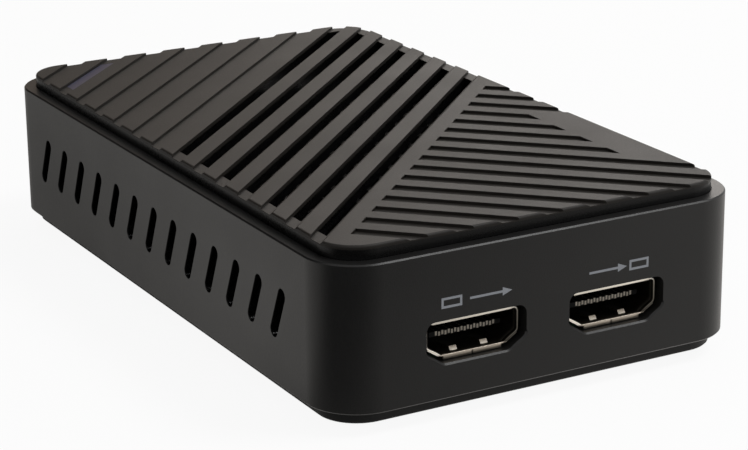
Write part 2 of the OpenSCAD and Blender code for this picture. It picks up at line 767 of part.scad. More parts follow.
module capture_processor() color("#1b1c1f") chip(0, processor_y, processor_w, processor_w, chip_h);
module video_receiver() color("#1b1c1f") chip(video_x, front_chip_y, chip_w, chip_w, chip_h);
module video_splitter() color("#1b1c1f") chip(-video_x, front_chip_y, chip_w, chip_w, chip_h);
module data_controller() color("#1b1c1f") chip(0, back_chip_y, chip_w, chip_w, chip_h);

module memory_chips() color("#1b1c1f") for (side = [-1, 1])
  chip(side * memory_x, processor_y, memory_w, memory_l, memory_h);

module boot_memory() color("#1b1c1f") chip(side_x, processor_y, boot_w, 1.25 * boot_w, flat_chip_h);

module crystals() color("#b9bbbd") for (side = [-1, 1])
  chip(side * side_x, front_chip_y, crystal_w, 0.8 * crystal_w, 0.25 * crystal_w);

// Surge arrays in pairs behind the video sockets
module surge_arrays() color("#1b1c1f") for (side = [-1, 1], x = [-surge_x, surge_x])
  chip(side * video_x + x, surge_y, surge_w, 0.4 * surge_w, 0.25 * surge_w);

module power_inductors() color("#4a4a4c") for (i = [-1:1])
  chip(i * inductor_pitch, back_row_y, inductor_w, inductor_w, inductor_h);

// Two regulators behind the outer inductors and one beside the processor
module power_regulators() color("#1b1c1f") {
  for (side = [-1, 1]) chip(side * inductor_pitch, regulator_y, regulator_w, regulator_w, flat_chip_h);
  chip(-side_x, processor_y, regulator_w, regulator_w, flat_chip_h);
}

// Four can capacitors beside the inductors, each on a square foot
module bulk_capacitors() color("#b4b6b9") for (side = [-1, 1], y = [0, capacitor_d + part_gap])
  translate([side * capacitor_x, back_row_y + y, board_top]) {
    block(capacitor_d, capacitor_d, capacitor_foot_h);
    cylinder(d = capacitor_d - 2 * fit_gap, h = capacitor_h);
  }

module small_capacitors() color("#9c7b56") for (i = [-4:4])
  chip(i * small_row_pitch, front_row_y, chip_capacitor_l, chip_capacitor_l / 2, chip_capacitor_l / 2);

// Light guide: a bar that fills a groove's floor, a flange under the cover and a leg down to the light
module light_guide() color("#b9bccb") {
  translate([0, 0, cover_under - flange_t]) {
    intersection() {
      slot_area(-lens_gap, flange_t + cover_t - groove_depth);
      slant_bar(light_groove - lens_gap, floor_w - 2 * lens_gap, flange_t + cover_t - groove_depth);
    }
    intersection() {
      slot_area(flange_lip, flange_t);
      slant_bar(light_groove + flange_lip, floor_w + 2 * flange_lip, flange_t);
    }
  }
  translate([leg_x, leg_y, board_top + led_h + leg_gap])
    cylinder(d = leg_d, h = cover_under - flange_t / 2 - board_top - led_h - leg_gap);
}

module status_light() color("#e8e6df") chip(leg_x, leg_y, led_w, led_w, led_h);

side_band();
top_cover();
base_plate();
rubber_feet();
case_screws();
main_board();
board_screws();
video_shell(-1);  // video_out_shell
video_tongue(-1);  // video_out_tongue
video_contacts(-1);  // video_out_contacts
video_shell(1);  // video_in_shell
video_tongue(1);  // video_in_tongue
video_contacts(1);  // video_in_contacts
data_port_shell();
data_port_tongue();
data_port_contacts();
heat_sink();
heat_sink_spacers();
heat_sink_screws();
thermal_pads();
capture_processor();
video_receiver();
video_splitter();
data_controller();
memory_chips();
boot_memory();
crystals();
surge_arrays();
power_inductors();
power_regulators();
bulk_capacitors();
small_capacitors();
light_guide();
status_light();
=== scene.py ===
import math

import bmesh
import bpy
from mathutils import Matrix, Vector


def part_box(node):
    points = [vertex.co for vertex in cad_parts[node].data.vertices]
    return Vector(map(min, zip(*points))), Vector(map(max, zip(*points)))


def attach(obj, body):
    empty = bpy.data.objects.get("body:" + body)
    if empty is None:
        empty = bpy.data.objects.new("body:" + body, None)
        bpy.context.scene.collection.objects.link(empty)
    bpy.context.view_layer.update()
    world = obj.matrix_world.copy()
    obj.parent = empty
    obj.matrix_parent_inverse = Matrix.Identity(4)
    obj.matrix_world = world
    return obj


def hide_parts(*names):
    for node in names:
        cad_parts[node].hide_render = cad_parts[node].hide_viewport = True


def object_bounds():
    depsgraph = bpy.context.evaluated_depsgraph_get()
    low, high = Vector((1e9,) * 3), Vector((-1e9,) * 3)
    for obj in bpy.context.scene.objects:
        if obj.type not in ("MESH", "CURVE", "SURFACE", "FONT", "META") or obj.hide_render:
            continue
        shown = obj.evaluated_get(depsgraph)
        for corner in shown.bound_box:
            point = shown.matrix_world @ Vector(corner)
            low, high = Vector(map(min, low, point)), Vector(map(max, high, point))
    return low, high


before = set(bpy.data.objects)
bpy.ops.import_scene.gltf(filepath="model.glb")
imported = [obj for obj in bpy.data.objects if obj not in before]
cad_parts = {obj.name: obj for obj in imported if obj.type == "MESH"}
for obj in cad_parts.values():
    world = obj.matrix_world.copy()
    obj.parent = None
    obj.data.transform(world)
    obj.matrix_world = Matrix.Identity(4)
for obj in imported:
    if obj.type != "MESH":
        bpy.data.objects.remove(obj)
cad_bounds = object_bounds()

# Base plate: the shallow moulded tray that closes the case from below.
# Black plastic with a fine eroded grain; its rim goes up inside the band and four screws hold it there.
MM = 0.001
GRAIN, GRAIN_DEPTH = 0.22 * MM, 0.012 * MM
FLOW = 14 * MM
# The near-black painted shade of inner faces, and how much glossier those faces are.
INNER_SHADE_LEVEL, INNER_POLISH = 0.001, 0.22
BASE_FLOOR_Z = 3.2 * MM


class Wire:
    """One output of a node, for use in sums and products with numbers and other outputs."""

    def __init__(self, tree, output):
        self.tree = tree
        self.output = output

    def node(self, kind, settings, inputs, result=0):
        """Adds a node: its settings first, then the values or links of its inputs."""
        made = self.tree.nodes.new(kind)
        for name, value in settings.items():
            setattr(made, name, value)
        for key, value in inputs.items():
            for each in value if isinstance(value, list) else [value]:
                if isinstance(each, Wire):
                    self.tree.links.new(each.output, made.inputs[key])
                else:
                    made.inputs[key].default_value = each
        return Wire(self.tree, made.outputs[result])

    def math(self, operation, first, second=0.0):
        return self.node("ShaderNodeMath", {"operation": operation}, {0: first, 1: second})

    def __add__(self, other):
        return self.math("ADD", self, other)

    def __sub__(self, other):
        return self.math("SUBTRACT", self, other)

    def __mul__(self, other):
        return self.math("MULTIPLY", self, other)

    def __truediv__(self, other):
        return self.math("DIVIDE", self, other)

    def __radd__(self, other):
        return self.math("ADD", other, self)

    def __rsub__(self, other):
        return self.math("SUBTRACT", other, self)

    def __rmul__(self, other):
        return self.math("MULTIPLY", other, self)

    def __rtruediv__(self, other):
        return self.math("DIVIDE", other, self)

    def __abs__(self):
        return self.math("ABSOLUTE", self)

    def above(self, limit):
        return self.math("GREATER_THAN", self, limit)

    def below(self, limit):
        return self.math("LESS_THAN", self, limit)

    def fraction(self):
        return self.math("FRACT", self)

    def clamped(self, least=0.0):
        """This value, held between a least one and 1."""
        return self.node("ShaderNodeClamp", {}, {"Value": self, "Min": least, "Max": 1.0})

    def blend(self, low, high):
        """A colour between two colours, by this value from 0 to 1."""
        return self.node("ShaderNodeMix", {"data_type": "RGBA"}, {0: self, 6: low, 7: high}, result=2)

    def stretched(self, x, y, z):
        """This place with its three directions multiplied, so that a pattern grows longer or shorter."""
        return self.node("ShaderNodeVectorMath", {"operation": "MULTIPLY"}, {0: self, 1: (x, y, z)})

    def parts(self):
        """The three numbers of a place."""
        split = self.node("ShaderNodeSeparateXYZ", {}, {0: self})
        return tuple(Wire(self.tree, out) for out in split.output.node.outputs)

    def feed(self, shader, socket):
        self.tree.links.new(self.output, shader.inputs[socket])


def finish(name, constants):
    """A material with one Principled shader, and the place on the piece for its patterns."""
    material = bpy.data.materials.new(name)
    material.use_nodes = True
    tree = material.node_tree
    shader = tree.nodes["Principled BSDF"]
    for socket, value in constants.items():
        shader.inputs[socket].default_value = value
    coordinates = tree.nodes.new("ShaderNodeTexCoord")
    return material, shader, Wire(tree, coordinates.outputs["Object"])


def grey(level, warm=0.0):
    """A grey, or with some warmth a brownish one, as a colour."""
    return (level * (1 + warm), level, level * (1 - warm), 1.0)


def noise(place, size, detail=2.0):
    """A soft random pattern whose spots are about the given size across."""
    return place.node("ShaderNodeTexNoise", {}, {"Vector": place, "Scale": 1 / size, "Detail": detail})


def bump(height, depth):
    return height.node("ShaderNodeBump", {}, {"Distance": depth, "Height": height})


def moulded_plastic(name, dark, light, roughness, level, shaded_inner_faces):
    """Satin moulded plastic: eroded grain, slow changes of gloss and tone, polished inner faces with painted
    shade.
    """
    material, shader, place = finish(name, {"Specular IOR Level": level})
    grain = noise(place, GRAIN, 3.0)
    flow = noise(place, FLOW)
    inner_shade_and_polish = shaded_inner_faces(*place.parts())
    colour = (0.7 * grain + 0.3 * flow).blend(dark, light)
    # Inner faces, where shade falls, are painted near black as shade; they are also polished.
    inner_shade_and_polish.blend(colour, grey(INNER_SHADE_LEVEL)).feed(shader, "Base Color")
    gloss_changes = 0.16 * (grain - 0.5) + 0.1 * (flow - 0.5)
    (roughness + gloss_changes - INNER_POLISH * inner_shade_and_polish).feed(shader, "Roughness")
    bump(grain, GRAIN_DEPTH).feed(shader, "Normal")
    return material


def dress(material, *nodes):
    """Gives CAD nodes their finish."""
    for node in nodes:
        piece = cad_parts[node]
        piece.data.materials.clear()
        piece.data.materials.append(material)


# The tray's faces above its floor are painted near black as shade, and polished.
base_plastic = moulded_plastic(
    "base_plastic", dark=grey(0.003), light=grey(0.009), roughness=0.48, level=0.18,
    shaded_inner_faces=lambda x, y, z: z.above(BASE_FLOOR_Z))
dress(base_plastic, "base_plate")

# Rubber feet: four round pads of soft black rubber, stuck into shallow pockets under the base.
# Their faces are matt and a little dusty from handling.
RUBBER_GRAIN, RUBBER_GRAIN_DEPTH = 0.3 * MM, 0.02 * MM
DUST_SPOT = 2.5 * MM
RUBBER_BLACK, RUBBER_DUST = grey(0.012), grey(0.05, 0.05)
rubber, rubber_shader, rubber_place = finish("foot_rubber", {"Specular IOR Level": 0.25})
rubber_grain = noise(rubber_place, RUBBER_GRAIN, 4.0)
rubber_dust = noise(rubber_place, DUST_SPOT, 3.0)
(rubber_dust * rubber_grain).blend(RUBBER_BLACK, RUBBER_DUST).feed(rubber_shader, "Base Color")
(0.78 + 0.2 * (rubber_grain - 0.5)).feed(rubber_shader, "Roughness")
bump(rubber_grain, RUBBER_GRAIN_DEPTH).feed(rubber_shader, "Normal")
dress(rubber, "rubber_feet")

# Circuit board: glass-fibre laminate under dark green solder mask, with etched tracks and tinned vias.
# Four screws hold it on the base's posts.
TRACK_FIELD, TRACK_PITCH, TRACK_SHARE = 9 * MM, 0.5 * MM, 0.22
COPPER_PATCH, COPPER_FROM, COPPER_T = 11 * MM, 0.47, 0.02 * MM
VIA_PITCH, VIA_SHARE = 2.6 * MM, 0.11
MASK_GREEN, MASK_OVER_TRACK = (0.008, 0.045, 0.025, 1), (0.018, 0.09, 0.05, 1)
VIA_TIN = (0.55, 0.54, 0.5, 1)
mask, mask_shader, mask_place = finish("solder_mask", {"Specular IOR Level": 0.5})
mask_cells = mask_place.node(
    "ShaderNodeTexVoronoi", {"distance": "CHEBYCHEV"},
    {"Vector": mask_place, "Scale": 1 / TRACK_FIELD, "Randomness": 0.7})
mask_tracks = abs((mask_cells * (TRACK_FIELD / TRACK_PITCH)).fraction() - 0.5)
mask_field = noise(mask_place, COPPER_PATCH)
mask_lines = mask_tracks.below(TRACK_SHARE) * mask_field.above(COPPER_FROM)
mask_dots = mask_place.node(
    "ShaderNodeTexVoronoi", {}, {"Vector": mask_place, "Scale": 1 / VIA_PITCH, "Randomness": 1.0})
mask_vias = mask_dots.below(VIA_SHARE)
mask_vias.blend(mask_lines.blend(MASK_GREEN, MASK_OVER_TRACK), VIA_TIN).feed(mask_shader, "Base Color")
mask_vias.feed(mask_shader, "Metallic")
(0.34 + 0.08 * mask_field - 0.08 * mask_vias).feed(mask_shader, "Roughness")
bump(mask_lines, COPPER_T).feed(mask_shader, "Normal")
dress(mask, "main_board")

# Chips: flat packages of black moulded epoxy, soldered to the board. The big ones lie under the heat sink.
# A round mark near the left front corner of each kind shows the first pin.
SPECKLE, SPECKLE_DEPTH = 0.12 * MM, 0.01 * MM
PIN_DOT_IN, PIN_DOT_R, PIN_DOT_DEPTH = 1.4 * MM, 0.45 * MM, 0.05 * MM
EPOXY_DARK, EPOXY_LIGHT, PIN_DOT_GREY = grey(0.008), grey(0.026), grey(0.16)


def chip_epoxy(node):
    """Epoxy with a fine filler speckle, and one pale dot near the left front corner of the node."""
    epoxy, shader, place = finish(node + "_epoxy", {"Specular IOR Level": 0.4})
    low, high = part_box(node)
    speckle = noise(place, SPECKLE, 4.0)
    x, y, z = place.parts()
    across = x - (low.x + PIN_DOT_IN)
    along = y - (low.y + PIN_DOT_IN)
    in_circle = (across * across + along * along).below(PIN_DOT_R * PIN_DOT_R)
    dot = in_circle * z.above(high.z - PIN_DOT_DEPTH)
    dot.blend(speckle.blend(EPOXY_DARK, EPOXY_LIGHT), PIN_DOT_GREY).feed(shader, "Base Color")
    (0.55 + 0.25 * (speckle - 0.5) - 0.2 * dot).feed(shader, "Roughness")
    bump(speckle, SPECKLE_DEPTH).feed(shader, "Normal")
    return epoxy


for chip in (
        "capture_processor", "video_receiver", "video_splitter", "data_controller", "memory_chips",
        "boot_memory", "surge_arrays", "power_regulators"):
    dress(chip_epoxy(chip), chip)

# Crystals: two small drawn steel cans that each hold a slice of quartz.
# They are welded shut round a seam and soldered flat on the board.
CAN_LINE, CAN_LINE_DEPTH = 0.1 * MM, 0.004 * MM
CAN_DARK, CAN_LIGHT = grey(0.42), grey(0.62)
can_steel, can_shader, can_place = finish("can_steel", {"Metallic": 1.0})
can_lines = noise(can_place.stretched(0.08, 1, 1), CAN_LINE, 3.0)
can_lines.blend(CAN_DARK, CAN_LIGHT).feed(can_shader, "Base Color")
(0.26 + 0.2 * can_lines).feed(can_shader, "Roughness")
bump(can_lines, CAN_LINE_DEPTH).feed(can_shader, "Normal")
dress(can_steel, "crystals")

# Power inductors: three blocks with a coil inside, soldered in a row behind the heat sink.
# They are pressed from iron powder, which leaves a grainy grey face.
POWDER, POWDER_DEPTH = 0.18 * MM, 0.04 * MM
FERRITE_DARK, FERRITE_LIGHT = grey(0.03), grey(0.13, 0.04)
ferrite, ferrite_shader, ferrite_place = finish("pressed_ferrite", {"Specular IOR Level": 0.35})
ferrite_grain = noise(ferrite_place, POWDER, 5.0)
ferrite_grain.blend(FERRITE_DARK, FERRITE_LIGHT).feed(ferrite_shader, "Base Color")
(0.5 + 0.35 * ferrite_grain).feed(ferrite_shader, "Roughness")
bump(ferrite_grain, POWDER_DEPTH).feed(ferrite_shader, "Normal")
dress(ferrite, "power_inductors")

# Bulk capacitors: four drawn aluminium cans on square black plastic feet, soldered to the board.
# A dark half-moon is printed on top of each, at the side of its minus pole.
CAPACITOR_D, FOOT_H = 5 * MM, 0.8 * MM
MINUS_FROM, MINUS_DEPTH = 0.22, 0.1 * MM
DRAWN_LINE = 0.25 * MM
ALLOY_DARK, ALLOY_LIGHT, ALLOY_BLACK = grey(0.55), grey(0.74), grey(0.014)
cans_low, cans_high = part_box("bulk_capacitors")
can_alloy, alloy_shader, alloy_place = finish("can_aluminium", {})
alloy_x, _, alloy_z = alloy_place.parts()
alloy_foot = alloy_z.below(cans_low.z + FOOT_H)
alloy_off = abs(alloy_x) - (cans_high.x - CAPACITOR_D / 2)
alloy_minus = alloy_off.above(MINUS_FROM * CAPACITOR_D) * alloy_z.above(cans_high.z - MINUS_DEPTH)
alloy_dark = alloy_foot + alloy_minus
alloy_lines = noise(alloy_place.stretched(1, 1, 12), DRAWN_LINE, 3.0)
alloy_dark.blend(alloy_lines.blend(ALLOY_DARK, ALLOY_LIGHT), ALLOY_BLACK).feed(alloy_shader, "Base Color")
(1 - alloy_dark).feed(alloy_shader, "Metallic")
(0.3 + 0.14 * alloy_lines + 0.2 * alloy_dark).feed(alloy_shader, "Roughness")
dress(can_alloy, "bulk_capacitors")

# Small capacitors: a row of fired ceramic blocks behind the video sockets.
# The two tinned ends of each are soldered to the board.
ROW_PITCH, CERAMIC_HALF = 4.5 * MM, 0.5 * MM
CERAMIC_GRAIN = 0.1 * MM
CERAMIC_DARK, CERAMIC_LIGHT, END_TIN = (0.2, 0.12, 0.06, 1), (0.34, 0.21, 0.11, 1), grey(0.62)
ceramic, ceramic_shader, ceramic_place = finish("capacitor_ceramic", {})
ceramic_x, _, _ = ceramic_place.parts()
ceramic_off = abs((ceramic_x / ROW_PITCH + 0.5).fraction() - 0.5) * ROW_PITCH
ceramic_tin = ceramic_off.above(CERAMIC_HALF)
ceramic_grain = noise(ceramic_place, CERAMIC_GRAIN, 3.0)
ceramic_brown = ceramic_grain.blend(CERAMIC_DARK, CERAMIC_LIGHT)
ceramic_tin.blend(ceramic_brown, END_TIN).feed(ceramic_shader, "Base Color")
ceramic_tin.feed(ceramic_shader, "Metallic")
(0.42 + 0.16 * ceramic_grain).feed(ceramic_shader, "Roughness")
dress(ceramic, "small_capacitors")

# Status light: a small light package of moulded white plastic, soldered to the board.
# A clear window over its middle shines into the leg of the light guide.
LIGHT_WINDOW_R = 0.55 * MM
PACKAGE_GRAIN = 0.2 * MM
PACKAGE_DARK, PACKAGE_LIGHT, WINDOW_AMBER = grey(0.66, 0.02), grey(0.8, 0.02), (0.62, 0.5, 0.16, 1)
light_low, light_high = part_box("status_light")
package, package_shader, package_place = finish("light_package", {})
package_x, package_y, _ = package_place.parts()
package_across = package_x - (light_low.x + light_high.x) / 2
package_along = package_y - (light_low.y + light_high.y) / 2
package_off = package_across * package_across + package_along * package_along
package_window = package_off.below(LIGHT_WINDOW_R * LIGHT_WINDOW_R)
package_white = noise(package_place, PACKAGE_GRAIN).blend(PACKAGE_DARK, PACKAGE_LIGHT)
package_window.blend(package_white, WINDOW_AMBER).feed(package_shader, "Base Color")
(0.4 - 0.25 * package_window).feed(package_shader, "Roughness")
dress(package, "status_light")

# Sockets: two for video in the front end and one for data in the back end, soldered to the board by legs.
# The shells are nickel-plated sheet. The data one is drawn, and the video ones are folded, with lips round
# the mouth and springs inside. Each holds a black plastic tongue with gold-plated contacts.
SHELL_T = 0.3 * MM
NEAR, MERGE = 0.01 * MM, 0.002 * MM
FLAT_ANGLE, SHARP_ANGLE, CREASE_ANGLE = (math.radians(a) for a in (0.5, 60, 30))
RIM_ROUND, RIM_STEPS, RIM_DEPTH = 0.11 * MM, 3, 0.6 * MM
# How far in from the rim the painted shade of the mouth deepens.
MOUTH_FADE = 1.2 * MM
SPRING_X, SPRING_REACH, SPRING_RISE = 2.4 * MM, 3.2 * MM, 0.06 * MM
# The last: how much of the mouth's painted shade the springs are spared.
SPRING_SHIFT, SPRING_NARROW, SPRING_SHADE_CUT = 1.1 * MM, 0.85, 0.1
LIP_T, LIP_PROUD = 0.3 * MM, 0.02 * MM
LIP_SLANT = math.radians(33)
UPPER_LIP_DROP, LOWER_LIP_RISE = 0.38 * MM, 0.02 * MM
# Painted shade on a video rim's right side, darker towards the floor.
RIGHT_SHADE_W = 4 * MM
PLATING_LINE, PLATING_LINE_DEPTH, PLATING_CLOUD = 0.09 * MM, 0.004 * MM, 2.2 * MM
NICKEL_DARK, NICKEL_LIGHT = (0.58, 0.545, 0.475, 1), (0.82, 0.775, 0.695, 1)
RIGHT_RIM_SHADE_LOW, RIGHT_RIM_SHADE_HIGH = (0.05, 0.044, 0.036, 1), (0.3, 0.28, 0.24, 1)
# Painted shade on the lower lip, and deep inside the mouth.
LOWER_LIP_SHADE_TONE, MOUTH_SHADE_TONE = (0.3, 0.265, 0.22, 1), (0.13, 0.11, 0.085, 1)
shell_floor_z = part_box("main_board")[1].z + SHELL_T

# Each lip: how far its middle is from the socket's middle, its height above the table, its length, its width
# and its slant.
VIDEO_LIPS = (
    (0.0, 13.68 * MM, 12.6 * MM, 0.52 * MM, 0.0),
    (-2.33 * MM, 8.55 * MM, 4.54 * MM, 0.64 * MM, 0.0),
    (2.33 * MM, 8.55 * MM, 4.54 * MM, 0.64 * MM, 0.0),
    (-6.11 * MM, 9.39 * MM, 2.2 * MM, 0.22 * MM, LIP_SLANT),
    (6.11 * MM, 9.39 * MM, 2.2 * MM, 0.22 * MM, -LIP_SLANT))


def merged_copy(node):
    """The shape of a CAD node, with its loose triangles joined into whole faces."""
    shape = bmesh.new()
    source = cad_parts[node].data
    corners = [shape.verts.new(v.co) for v in source.vertices]
    for face in source.polygons:
        shape.faces.new([corners[i] for i in face.vertices])
    bmesh.ops.remove_doubles(shape, verts=shape.verts, dist=MERGE)
    bmesh.ops.dissolve_limit(shape, angle_limit=FLAT_ANGLE, verts=shape.verts, edges=shape.edges)
    return shape


def sharp_edges(shape, wanted):
    """The sharp edges of a shape whose middles lie where they are wanted."""
    return [
        e for e in shape.edges
        if e.calc_face_angle(0) > SHARP_ANGLE and wanted((e.verts[0].co + e.verts[1].co) / 2)]


def ease(shape, edges, width, steps):
    """Breaks edges with a chamfer of one step, or rounds them with more."""
    bmesh.ops.bevel(shape, geom=edges, offset=width, segments=steps, profile=0.5, affect="EDGES")


def stand_in(name, node, shape, material):
    """Makes a shape the piece that stands for a CAD node."""
    for face in shape.faces:
        face.smooth = True
    for edge in shape.edges:
        edge.smooth = edge.calc_face_angle(0) < CREASE_ANGLE
    mesh = bpy.data.meshes.new(name)
    shape.to_mesh(mesh)
    shape.free()
    mesh.materials.append(material)
    piece = bpy.data.objects.new(name, mesh)
    bpy.context.scene.collection.objects.link(piece)
    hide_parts(node)
    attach(piece, "root")


def nickel_plating(node, video):
    """Fine-lined plating with painted shade deep in the mouth and, on a video rim, at its right and lower
    lip.
    """
    nickel, shader, place = finish(node + "_nickel", {"Metallic": 1.0})
    low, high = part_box(node)
    x, y, z = place.parts()
    lines = noise(place.stretched(1, 0.06, 1), PLATING_LINE, 3.0)
    cloud = noise(place, PLATING_CLOUD)
    off_middle = x - (low.x + high.x) / 2
    inside = abs(off_middle).below((high.x - low.x - SHELL_T) / 2) * z.below(high.z - SHELL_T / 2)
    # Painted shade inside the mouth, deeper away from the rim.
    depth = y - low.y if video else high.y - y
    mouth_shade = inside * (depth / MOUTH_FADE).clamped()
    tone = (0.5 * lines + 0.5 * cloud).blend(NICKEL_DARK, NICKEL_LIGHT)
    if video:
        # A video rim's right side gets painted shade, darker towards the floor.
        rise = (z - shell_floor_z) / (high.z - shell_floor_z)
        below_upper_lip = depth.below(RIM_DEPTH) * z.below(high.z - UPPER_LIP_DROP)
        right_rim_shade = below_upper_lip * (off_middle / RIGHT_SHADE_W).clamped()
        tone = right_rim_shade.blend(tone, rise.blend(RIGHT_RIM_SHADE_LOW, RIGHT_RIM_SHADE_HIGH))
        # The lower lip gets painted shade.
        tone = z.below(shell_floor_z + LOWER_LIP_RISE).blend(tone, LOWER_LIP_SHADE_TONE)
        # The springs are spared part of the mouth's painted shade, so they show lighter, as if lit.
        springs = abs(off_middle).below(SPRING_REACH) * z.above(shell_floor_z + SPRING_RISE)
        mouth_shade = mouth_shade * (1 - SPRING_SHADE_CUT * springs)
    mouth_shade.blend(tone, MOUTH_SHADE_TONE).feed(shader, "Base Color")
    (0.2 + 0.16 * lines + 0.08 * cloud).feed(shader, "Roughness")
    bump(lines, PLATING_LINE_DEPTH).feed(shader, "Normal")
    return nickel


def plated_shell(node, video):
    """A shell with a rounded rim. A video shell gets its lips, and its springs lie nearer to the mouth."""
    low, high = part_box(node)
    middle_x = (low.x + high.x) / 2
    rim_y = low.y if video else high.y
    shape = merged_copy(node)
    for corner in shape.verts if video else ():
        x, y, z = corner.co
        in_mouth = low.y + RIM_DEPTH < y < high.y - RIM_DEPTH and abs(x - middle_x) < SPRING_REACH
        if in_mouth and shell_floor_z - NEAR < z < high.z - SHELL_T + NEAR:
            spring_x = middle_x + math.copysign(SPRING_X, x - middle_x)
            corner.co = (spring_x + SPRING_NARROW * (x - spring_x), y - SPRING_SHIFT, z)
    ease(shape, sharp_edges(shape, lambda at: abs(at.y - rim_y) < NEAR), RIM_ROUND, RIM_STEPS)
    for x, z, length, width, slant in VIDEO_LIPS if video else ():
        lip = bmesh.ops.create_cube(shape, size=1.0, matrix=(
            Matrix.Translation((middle_x + x, rim_y - LIP_PROUD + LIP_T / 2, z))
            @ Matrix.Rotation(slant, 4, "Y") @ Matrix.Diagonal((length, LIP_T, width, 1.0))))
        lip_corners = set(lip["verts"])
        ease(shape, [e for e in shape.edges if e.verts[0] in lip_corners], RIM_ROUND, RIM_STEPS)
    stand_in(node + "_rounded", node, shape, nickel_plating(node, video))


plated_shell("video_out_shell", True)
plated_shell("video_in_shell", True)
plated_shell("data_port_shell", False)

# Tongue faces behind this line, deeper in the sockets, are painted near black as shade, and polished.
TONGUE_BACK_Y = -52 * MM
tongue_plastic = moulded_plastic(
    "tongue_plastic", dark=grey(0.002), light=grey(0.004), roughness=0.4, level=0.06,
    shaded_inner_faces=lambda x, y, z: y.above(TONGUE_BACK_Y))
dress(tongue_plastic, "video_out_tongue", "video_in_tongue", "data_port_tongue")

GOLD_SPOT = 0.4 * MM
GOLD_DARK, GOLD_LIGHT = (0.14, 0.128, 0.108, 1), (0.27, 0.248, 0.215, 1)
gold, gold_shader, gold_place = finish("contact_gold", {"Metallic": 1.0})
gold_wear = noise(gold_place, GOLD_SPOT, 3.0)
gold_wear.blend(GOLD_DARK, GOLD_LIGHT).feed(gold_shader, "Base Color")
(0.3 + 0.16 * gold_wear).feed(gold_shader, "Roughness")
dress(gold, "video_out_contacts", "video_in_contacts", "data_port_contacts")

# Board screws: four small pan-head screws with a cross recess and a rolled thread, of zinc-plated steel.
# They go through the board into the base's posts.
SMALL_HEAD_D, SMALL_HEAD_H, SMALL_THREAD_D = 4.0 * MM, 1.2 * MM, 1.8 * MM
HEAD_SIDES, HEAD_RINGS, CROWN_DRAW = 40, 6, 0.28
THREAD_SIDES, RINGS_PER_TURN, THREAD_CUT = 24, 8, 0.22
PITCH_SHARE, RECESS_L_SHARE, RECESS_W_SHARE, RECESS_DEPTH_SHARE = 0.36, 0.56, 0.15, 0.6
SCREW_CREASE = math.radians(32)
SCREW_INPUTS = (
    ("Head Diameter", "NodeSocketFloat"), ("Head Height", "NodeSocketFloat"),
    ("Thread Diameter", "NodeSocketFloat"), ("Thread Length", "NodeSocketFloat"),
    ("Thread Pitch", "NodeSocketFloat"), ("Recess Length", "NodeSocketFloat"),
    ("Recess Width", "NodeSocketFloat"), ("Recess Depth", "NodeSocketFloat"),
    ("Span X", "NodeSocketFloat"), ("Span Y", "NodeSocketFloat"), ("Middle", "NodeSocketVector"),
    ("Upside Down", "NodeSocketFloat"), ("Finish", "NodeSocketMaterial"))


